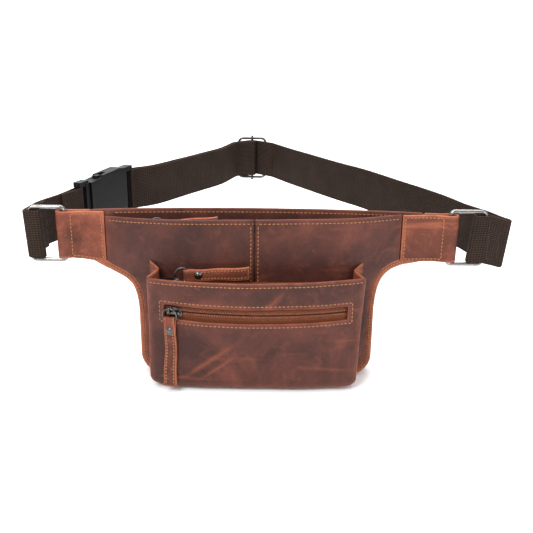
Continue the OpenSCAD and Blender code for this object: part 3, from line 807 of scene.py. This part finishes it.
# ---- pocket: front with a window, and a gusset that folds in like a bellows ----
CORNER = 6.5
RIGHT_TAPER = 3.8
pocket_outline = ([(-POCKET_HALF, pocket_top(-POCKET_HALF) - 0.6)]
                  + [(x, pocket_top(x)) for x in range(-80, 81, 8)]
                  + [(POCKET_HALF, pocket_top(POCKET_HALF) - 0.6)]
                  + arc(POCKET_HALF - 1 - RIGHT_TAPER - CORNER, POCKET_LOW + CORNER, CORNER, 0, -90, 8)
                  + arc(-POCKET_HALF + 1 + CORNER, POCKET_LOW + CORNER, CORNER, -90, -180, 8))
w, h = WINDOW_HALF + 0.8, WINDOW_H / 2 - 0.4
window = [(w, ZIP_Z - h), (w, ZIP_Z + h), (-w, ZIP_Z + h), (-w, ZIP_Z - h)]
sheet("pocket_front_leather", pocket_outline, pocket_surf, LEATHER, POCKET, "pouch", step=2.2,
      holes=[window], rim_width=3.2, slot="leather_dark", replaces=["pocket_front"])
corners = rectangle(FRAME_HALF, ZIP_Z - FRAME_H, ZIP_Z + FRAME_H)
pocket_items = []
for a, b in zip(corners, corners[1:] + corners[:1]):
    pocket_items += stitch_items(pocket_surf, [a, b])
pocket_items += stitch_items(pocket_surf, [(x, pocket_top(x) - POCKET_ROW) for x in range(-82, 83, 4)])
capsules("pocket_stitches", pocket_items, THREAD, "pouch", slot="leather_dark")

gusset_path = ([(POCKET_HALF - 0.6, GUSSET_TOP)]
               + arc(POCKET_HALF - 1.6 - RIGHT_TAPER - CORNER, POCKET_LOW + 0.8 + CORNER, CORNER, 0, -90, 10)
               + arc(-POCKET_HALF + 1.6 + CORNER, POCKET_LOW + 0.8 + CORNER, CORNER, -90, -180, 10)
               + [(-POCKET_HALF + 0.6, GUSSET_TOP)])
gusset_line = resample(gusset_path, 2.4)
FOLDS = 16


def gusset_ring(i, depth):
    """Points from the pouch forward to the pocket's face, at one place along the gusset."""
    p = gusset_line[i]
    t = (gusset_line[min(i + 1, len(gusset_line) - 1)] - gusset_line[max(i - 1, 0)]).normalized()
    inward = Vector((t.y, -t.x))
    fold = 7.2 * smooth((p.y + 104) / 40)
    rear, front = bulge(p.x) - 0.3, face_y(p.x, p.y) + 1.9
    out = []
    for k in range(FOLDS + 1):
        u = k / FOLDS
        crease = (1 - abs(2 * u - 1)) ** 0.85
        q = p + inward * (fold * crease + depth * (1.0 if fold < 3 else 0.9))
        drop = (GUSSET_TOP - POCKET_TOP + 0.4) * u * smooth((p.y + 40) / 20)
        out.append(Vector((q.x, rear + (front - rear) * u, q.y - drop)))
    return out


rings = []
for i in range(len(gusset_line)):
    outer, inner = gusset_ring(i, 0.0), gusset_ring(i, 1.4)
    rings.append(outer + list(reversed(inner)))
rims = [0.9 if i in (0, len(rings) - 1) else 0.15 for i in range(len(rings)) for _ in rings[0]]
loft("gusset_leather", rings, TAN, "pouch", rim=rims, slot="leather_tan", replaces=["pocket_gusset"])


# ---- zips ----
TOOTH = 1.3


def tape(name, corners, surf, node_name, step=2.0):
    """A zip's tape, with the weave's U along the zip."""
    obj = sheet(name, corners, surf, CLOTH, TAPE, "pouch", step=step, slot="zip_textile",
                replaces=[node_name])
    layer = obj.data.uv_layers.new(name="UVMap")
    for loop in obj.data.loops:
        co = obj.data.vertices[loop.vertex_index].co
        across = co.z if "face" in name else co.y
        layer.data[loop.index].uv = (co.x, across)


def teeth(name, place, half):
    """Two rows of coil teeth. place(x, across) gives the point and the outward normal."""
    items = []
    for s in (1, -1):
        for i in range(int(2 * half / TOOTH)):
            x = -half + TOOTH * (i + (0.5 if s > 0 else 0))
            a, up = place(x, s * 0.15)
            b, _ = place(x + 0.25, s * 2.75)
            items.append((a, b, up, 0.52, 0.95, 0.15))
    return capsules(name, items, COIL, "pouch", slot="zip_textile")


MAIN_Y, MAIN_Z, MAIN_HALF = -6.7, 1, 98
BACK_Y, BACK_Z, BACK_HALF = -32, -31, 74.5
COIL_D = 3.6
COIL_GAP = 0.6  # from the coils' middle line to each tape's edge


def level_tape(z):
    return lambda x, y: Vector((x, y, z + 0.35))


def level_place(y, z):
    return lambda x, s: (Vector((x, y + s, z)), Vector((0, 0, 1)))


def cut_to(curve, half, y, xs):
    """A level tape's outline, from its straight edge at y to a curve of the leather."""
    edge = [(x, curve(x)) for x in (-half, *xs, half)]
    return [(-half, y), *edge, (half, y)]


tape("main_zip_tape_rear", rectangle(MAIN_HALF, -2.2, MAIN_Y + COIL_GAP), level_tape(MAIN_Z),
     "main_tape_rear")
front_edge = cut_to(lambda x: bulge(x) + (3.2 if abs(x) < 7 else 2.3), MAIN_HALF, MAIN_Y - COIL_GAP,
                    range(-96, 97, 6))
tape("main_zip_tape_front", front_edge, level_tape(MAIN_Z), "main_tape_front")
teeth("main_zip_coils", level_place(MAIN_Y, MAIN_Z), MAIN_HALF)
rear_edge = cut_to(lambda x: bulge(x) - 0.5, BACK_HALF, BACK_Y + COIL_GAP, range(-72, 73, 8))
tape("pocket_zip_tape_rear", rear_edge, level_tape(BACK_Z), "pocket_tape_rear")
near_edge = cut_to(lambda x: face_y(x, BACK_Z) + 2.4, BACK_HALF, BACK_Y - COIL_GAP, range(-72, 73, 8))
tape("pocket_zip_tape_front", near_edge, level_tape(BACK_Z), "pocket_tape_front")
teeth("pocket_zip_coils", level_place(BACK_Y, BACK_Z), BACK_HALF)


def face_zip_surf(x, z):
    """The face zip's tapes, behind the pocket's front, with a groove under each sewing row."""
    r = FACE_R - COIL_D + 0.35 - dent(abs(z - ZIP_Z) - 4.6, 0.5, 0.35)
    return Vector((x, FACE_AXIS - math.sqrt(r * r - x * x), z))


def on_face(x, s):
    a = x / (FACE_R - COIL_D)
    outward = Vector((math.sin(a), -math.cos(a), 0))
    return Vector((0, FACE_AXIS, ZIP_Z + s)) + outward * (FACE_R - COIL_D), outward


FACE_HALF = 72
for level, low, high in (("upper", ZIP_Z + COIL_GAP, ZIP_Z + 10), ("lower", ZIP_Z - 10, ZIP_Z - COIL_GAP)):
    tape(f"face_zip_tape_{level}", rectangle(FACE_HALF, low, high), face_zip_surf, f"face_tape_{level}", 1.6)
teeth("face_zip_coils", on_face, FACE_HALF)
sewing = []
for z in (ZIP_Z - 3.7, ZIP_Z + 3.7):
    sewing += stitch_items(face_zip_surf, [(-70, z), (70, z)], pitch=1.6, wide=0.2, lift=0.05)
capsules("face_zip_sewing", sewing, COIL, "pouch", slot="zip_textile")


# ---- pulls: strap and rivet in the frame of a ring that hangs from its centre ----
RING_R, WIRE = 5.6, 1.3
STRAP_W, STRAP_END_W = 8.8, 10.3
LINK_TOP = 2.3 + 0.62
LINK_REACH, LINK_RISE = 4.8, math.radians(14)
RING_RISE = math.radians(42)
grip = Vector((2.7 + LINK_REACH * math.cos(LINK_RISE), 0, LINK_TOP + LINK_REACH * math.sin(LINK_RISE)))
centre = grip + RING_R * Vector((math.cos(RING_RISE), 0, math.sin(RING_RISE)))
LEVEL = Matrix.Translation(centre) @ Matrix.Rotation(math.radians(-90), 4, "Y")
FACE_REST = -math.asin(63 / FACE_R)
BAR_Z = 2.3 + 2.8 - 0.65
HANG_REACH, HANG_RISE = 4, math.radians(22)
STRAP_TILT = math.radians(-1.5)
hang = Vector((-2.7, HANG_REACH * math.cos(HANG_RISE) - RING_R, BAR_Z + HANG_REACH * math.sin(HANG_RISE)))
FACE_AT = (Matrix.Translation((0, FACE_AXIS, ZIP_Z)) @ Matrix.Rotation(FACE_REST, 4, "Z")
           @ Matrix.Translation((0, COIL_D - FACE_R, 0)) @ Matrix.Rotation(math.radians(90), 4, "X"))
HANG = (FACE_AT @ Matrix.Translation(hang) @ Matrix.Rotation(math.radians(-90), 4, "X")
        @ Matrix.Rotation(STRAP_TILT, 4, "Y"))
RIVET_DOWN = 7
RIVET_SIDES = 28
RIVET_PROFILE = [(0.0, 1.25), (1.1, 1.15), (1.9, 0.9), (2.35, 0.5), (2.5, 0.36), (2.75, 0.5), (3.1, 0.42),
                 (3.2, 0.05), (3.1, -0.2), (0.6, -0.25)]


def rivet(prefix, matrix, wall, body):
    """A domed cap with a stepped rim on each side of the strap."""
    verts, faces = [], []
    sink = 0.06
    for face in (-1, 1):
        base = len(verts)
        for r, z in RIVET_PROFILE:
            for k in range(RIVET_SIDES):
                a = 2 * math.pi * k / RIVET_SIDES
                verts.append(matrix @ Vector((r * math.cos(a), face * (z + wall - sink),
                                              r * math.sin(a) - RING_R - RIVET_DOWN)))
        for i in range(len(RIVET_PROFILE) - 1):
            near, far = base + i * RIVET_SIDES, base + (i + 1) * RIVET_SIDES
            for k in range(RIVET_SIDES):
                m = (k + 1) % RIVET_SIDES
                quad = (near + k, far + k, far + m, near + m)
                faces.append(quad if face < 0 else tuple(reversed(quad)))
        shank = tuple(base + (len(RIVET_PROFILE) - 1) * RIVET_SIDES + k for k in range(RIVET_SIDES))
        faces.append(tuple(reversed(shank)) if face < 0 else shank)
    build(f"{prefix}_rivet_dome", verts, faces, GUNMETAL, body, slot="gunmetal", replaces=[f"{prefix}_rivet"])


def pull(prefix, matrix, length, body, bend):
    """A strip folded over the ring's foot, its two layers sewn and riveted together."""
    wall, slack, slot_w, pull_step = 1.2, 2.6, WIRE / 2 + 0.3, 0.8
    half = slot_w + wall
    line = ([(wall, -length), (wall, -4), (half, 0)] + arc(0, slack, half, 0, 180, 14)
            + [(-half, 0), (-wall, -4), (-wall, -length)])
    line = resample(line, pull_step)
    total = pull_step * (len(line) - 1)

    def surf(u, v):
        i = min(len(line) - 2, max(0, int(u / total * (len(line) - 1))))
        p = line[i].lerp(line[i + 1], u / total * (len(line) - 1) - i)
        down = min(0, p.y)
        y, x = p.x + bend[0] * (down / length) ** 2, v + bend[1] * (down / length) ** 2
        x += 0.35 * math.sin(down * 0.21) * smooth(-down / 12)
        y += dent(abs(v) - 2.9, 0.6, 0.18) * (-1 if p.x > 0 else 1) * smooth(-(down + 9) / 4)
        return matrix @ Vector((x, y, p.y - RING_R))

    neck, end = STRAP_W / 2, STRAP_END_W / 2
    mid = total / 2
    shape = [(0, -end), (mid - 8, -neck), (mid, -neck + 0.3), (mid + 8, -neck), (total, -end),
             (total, end), (mid + 8, neck), (mid, neck - 0.3), (mid - 8, neck), (0, end)]
    sheet(f"{prefix}_strap_leather", shape, surf, 1.15, TAN, body, step=1.5, rim_width=1.0,
          slot="leather_tan", replaces=[f"{prefix}_pull_strap"])
    thread = dict(pitch=2.6, wide=0.5, lift=0.25, gap_share=0.17)
    items = []
    for v in (-1, 1):
        for u0, v0, u1, v1 in ((2, 3.1, mid - 14.5, 2.6), (mid + 14.5, 2.6, total - 2, 3.1)):
            items += stitch_items(surf, [(u0, v * v0), (u1, v * v1)], **thread)
    items += stitch_items(surf, [(2, -2.9), (2, 2.9)], **thread)
    capsules(f"{prefix}_strap_stitches", items, THREAD, body, slot="leather_tan")
    rivet(prefix, matrix, wall, body)


pull("main", Matrix.Translation((-90, MAIN_Y, MAIN_Z)) @ LEVEL, 42, "main_pull", (0.6, 2.2))
pull("pocket", Matrix.Translation((-68.5, BACK_Y, BACK_Z)) @ LEVEL, 46, "pocket_pull", (0.8, 1.6))
pull("face", HANG, 51, "face_strap", (-6.8, 0.0))

# ---- belt webbing ----
BUCKLE_A, BUCKLE_AT, FEMALE_BAR = 66, (-156, 66), 76
SLIDE = (-10, 288)
WEB_STEP = 1.6
ca, sa = math.cos(math.radians(BUCKLE_A)), math.sin(math.radians(BUCKLE_A))


def along(d, off=0.0):
    """A plan point on the buckle's own axis, off to one side of it."""
    return (BUCKLE_AT[0] + d * ca - off * sa, BUCKLE_AT[1] + d * sa + off * ca)


LOOP = 1.6 + 0.5 + 0.85  # ring wire, gap and half the webbing
WRAP = 1.8 + 0.4 + 0.85  # buckle bar, gap and half the webbing
LEAN_RIGHT, LEAN_LEFT, RIGHT_DROP = 0.10, -0.05, 5.0
short_route = ([(-173.6, 22), (-176.6, 12), (-177.4, 4), (-175.6, -0.4)]
               + arc(-172.5, RING_Y, LOOP, 90, -90, 8) + [(-176, RING_Y - LOOP)]
               + arc(-RING_OUT, RING_Y, LOOP, -90, -180, 6)
               + [(-180.9, 3), (-179.2, 12), (-175.6, 26), along(-26, 1), along(-12, 1.8)]
               + arc(*along(0), WRAP, BUCKLE_A + 105, BUCKLE_A - 105, 10)
               + [along(-12, -1.8), along(-24, -1)])
long_route = ([(193.6, -2.3), (189, -2.4), (184, -1.2), (179, RING_Y + LOOP)]
              + arc(171.5, RING_Y, LOOP, 90, 270, 8)
              + [(179, RING_Y - LOOP), (185, -6.4), (189, -5), (192.8, -4.6)]
              + arc(193.8, -0.6, 4, -80, 75, 7)
              + [(188, 6.4), (181, 9.6), (175, 17), (168, 32), (157, 57), (144, 80), (131, 101),
                 (102, 149), (85, 172), (67, 196), (48, 223), (30, 250), (SLIDE[0] + 24, SLIDE[1] - 12.8)])
sx, sy = SLIDE
adjuster_route = ([(sx + 23.7, sy - 12.4), (sx + 21, sy - 9), (sx + 14, sy - 3.6), (sx + 6, sy + 3.2),
                   (sx, sy + 5.2), (sx - 6, sy + 3.2), (sx - 14, sy - 3.6), (sx - 21, sy - 10),
                   (-44, 246), (-63, 217), (-84, 187), (-104, 160), along(FEMALE_BAR + 8, 2.6)]
                  + arc(*along(FEMALE_BAR), WRAP, BUCKLE_A + 80, BUCKLE_A - 80, 10)
                  + [along(FEMALE_BAR + 9, -3), (-101, 157), (-81.4, 184), (-60.4, 214), (-41.4, 243),
                     (sx - 18.6, sy - 12.4), (sx - 12, sy - 6.4), (sx - 5, sy - 4.8)]
                  + arc(sx, sy, 3.2, -100, 80, 9) + [(sx - 3, sy + 2.2), (sx - 9, sy - 2.2)])


def ribbon(name, route, node_name):
    """Webbing swept along a plan route, with rounded selvedges."""
    line = spline(route, WEB_STEP)
    half, r, cols = WEB_W / 2, WEB_T / 2, 14
    turn = [math.pi * k / 6 for k in range(1, 6)]
    section = [(-half + r + (2 * half - 2 * r) * k / cols, -r) for k in range(cols + 1)]
    section += [(half - r + r * math.sin(a), -r * math.cos(a)) for a in turn]
    section += [(half - r - (2 * half - 2 * r) * k / cols, r) for k in range(cols + 1)]
    section += [(-half + r - r * math.sin(a), r * math.cos(a)) for a in turn]
    rings, uv = [], []
    for i, p in enumerate(line):
        t = (line[min(i + 1, len(line) - 1)] - line[max(i - 1, 0)]).normalized()
        normal = Vector((t.y, -t.x))
        droop = wander(i * WEB_STEP, 0, 12, 0.02, 0.5)
        near = smooth((abs(p.x) - 158) / 14) * smooth((30 - p.y) / 16)
        lean = (LEAN_RIGHT if p.x > 0 else LEAN_LEFT) * near
        droop -= (RIGHT_DROP * smooth((p.x - 177) / 22) if p.x > 0 else 0) * near
        rings.append([Vector((p.x - normal.x * d + lean * z, p.y - normal.y * d, z + droop))
                      for z, d in section])
        uv += [(i * WEB_STEP, z) for z, _ in section]
    obj = loft(name, rings, WEBBING, None, uv=uv, slot="webbing", replaces=[node_name])
    return obj, line


short, _ = ribbon("webbing_strap_short", short_route, "webbing_short")
long, long_line = ribbon("webbing_strap_long", long_route, "webbing_long")
adjuster, _ = ribbon("webbing_strap_adjuster", adjuster_route, "webbing_adjuster")
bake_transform(short)
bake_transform(long)
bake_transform(adjuster)


def box_stitch(points_surf, u0, u1, inset):
    """Stitches round a rectangle across the webbing."""
    z = WEB_W / 2 - inset
    rows = [(u0, -z), (u1, -z), (u1, z), (u0, z), (u0, -z)]
    items = []
    for a, b in zip(rows, rows[1:]):
        items += stitch_items(points_surf, [a, b], -1, 2.4, 0.3, 0.1)
    return items


def line_surf(line, off):
    """The webbing's face, at a distance from its middle line."""
    def surf(u, v):
        i = min(len(line) - 2, max(1, int(u / WEB_STEP)))
        p = line[i].lerp(line[i + 1], u / WEB_STEP - i)
        t = (line[i + 1] - line[i - 1]).normalized()
        return Vector((p.x + t.y * off, p.y - t.x * off, v))

    return surf


right_loop = next(i for i, p in enumerate(long_line) if p.y < -6 and p.x > 180) * WEB_STEP
capsules("webbing_stitches", box_stitch(line_surf(long_line, WEB_T / 2), right_loop, right_loop + 9, 3.5),
         WEB_THREAD, "belt", slot="webbing")

# ---- metal and plastic of the frame ----
PLASTIC_EDGE, METAL_EDGE = 0.9, 0.16
METAL = [n for n in NODES if n.endswith(("_slider", "_link", "_pull_ring", "_zip_stops"))]
for name in METAL + ["ring_left", "ring_right", "slide_frame", "slide_bar",
                     "buckle_male", "prong_upper", "prong_lower", "buckle_female"]:
    obj = NODES[name]
    obj.data.materials.clear()
    if name.startswith(("buckle", "prong")):
        obj.data.materials.append(BLACK)
    elif name in METAL:
        obj.data.materials.append(GUNMETAL)
    else:
        obj.data.materials.append(DARK_NICKEL if name.startswith("slide") else NICKEL)
    soften = obj.modifiers.new("soften", "BEVEL")
    soften.width = (PLASTIC_EDGE if name.startswith(("buckle", "prong")) else METAL_EDGE) * MM
    soften.segments = 3
    soften.limit_method = "ANGLE"
    soften.angle_limit = math.radians(35)
    obj.data.shade_smooth()

# ---- floor, light and camera ----
FLOOR_Z = (POUCH_BOTTOM - 0.6) * MM
FLOOR_HALF = 4000
cove = [math.pi / 2 * k / 10 for k in range(1, 11)]
profile = ([(-2.4, 0.0), (1.5, 0.0)] + [(1.5 + 0.5 * math.sin(a), 0.5 - 0.5 * math.cos(a)) for a in cove]
           + [(2.0, 3.0)])
verts = [(x, y * 1000, FLOOR_Z * 1000 + z * 1000) for y, z in profile for x in (-FLOOR_HALF, FLOOR_HALF)]
faces = [(2 * i, 2 * i + 1, 2 * i + 3, 2 * i + 2) for i in range(len(profile) - 1)]
FLOOR_MAT, floor_tree, floor_bsdf = new_material("studio_paper", 0.9, 0.0, (0.93, 0.93, 0.93))
paper_grain = noise_of(floor_tree, coords(floor_tree), 300, 2)
connect(floor_tree, floor_bsdf, Normal=bump(floor_tree, paper_grain, 0.0001, 0.2))
build("studio_floor", verts, faces, FLOOR_MAT)


def area_light(name, place, target, size, power):
    data = bpy.data.lights.new(name, "AREA")
    data.shape, data.size, data.size_y, data.energy = "RECTANGLE", size[0], size[1], power
    obj = bpy.data.objects.new(name, data)
    obj.location = place
    obj.rotation_euler = (Vector(target) - Vector(place)).to_track_quat("-Z", "Y").to_euler()
    bpy.context.scene.collection.objects.link(obj)


area_light("key", (-0.8, -1.1, 1.2), (0, 0, -0.02), (0.8, 0.8), 27)
area_light("fill", (1.1, -1.1, 0.6), (0, 0, -0.04), (0.9, 0.9), 12)
area_light("top", (0.0, 0.3, 1.5), (0, 0.1, 0), (1.4, 1.2), 24)
area_light("backdrop", (0.0, 0.9, 1.5), (0, 1.9, 0.5), (2.4, 0.6), 40)
world = bpy.data.worlds.new("studio")
world.use_nodes = True
world.node_tree.nodes["Background"].inputs["Color"].default_value = (1, 1, 1, 1)
world.node_tree.nodes["Background"].inputs["Strength"].default_value = 0.45
bpy.context.scene.world = world
bpy.context.scene.view_settings.view_transform = "Standard"

CAMERA_AT = (0.0077, -0.6, 0.19)
CAMERA_DOWN, CAMERA_ROLL = 19.9, 0.66
camera_data = bpy.data.cameras.new("camera")
camera_data.lens = 53.43
camera_data.sensor_width = 36
camera = bpy.data.objects.new("camera", camera_data)
camera.matrix_world = (Matrix.Translation(CAMERA_AT)
                       @ Matrix.Rotation(math.radians(90 - CAMERA_DOWN), 4, "X")
                       @ Matrix.Rotation(math.radians(CAMERA_ROLL), 4, "Z"))
bpy.context.scene.collection.objects.link(camera)
bpy.context.scene.camera = camera
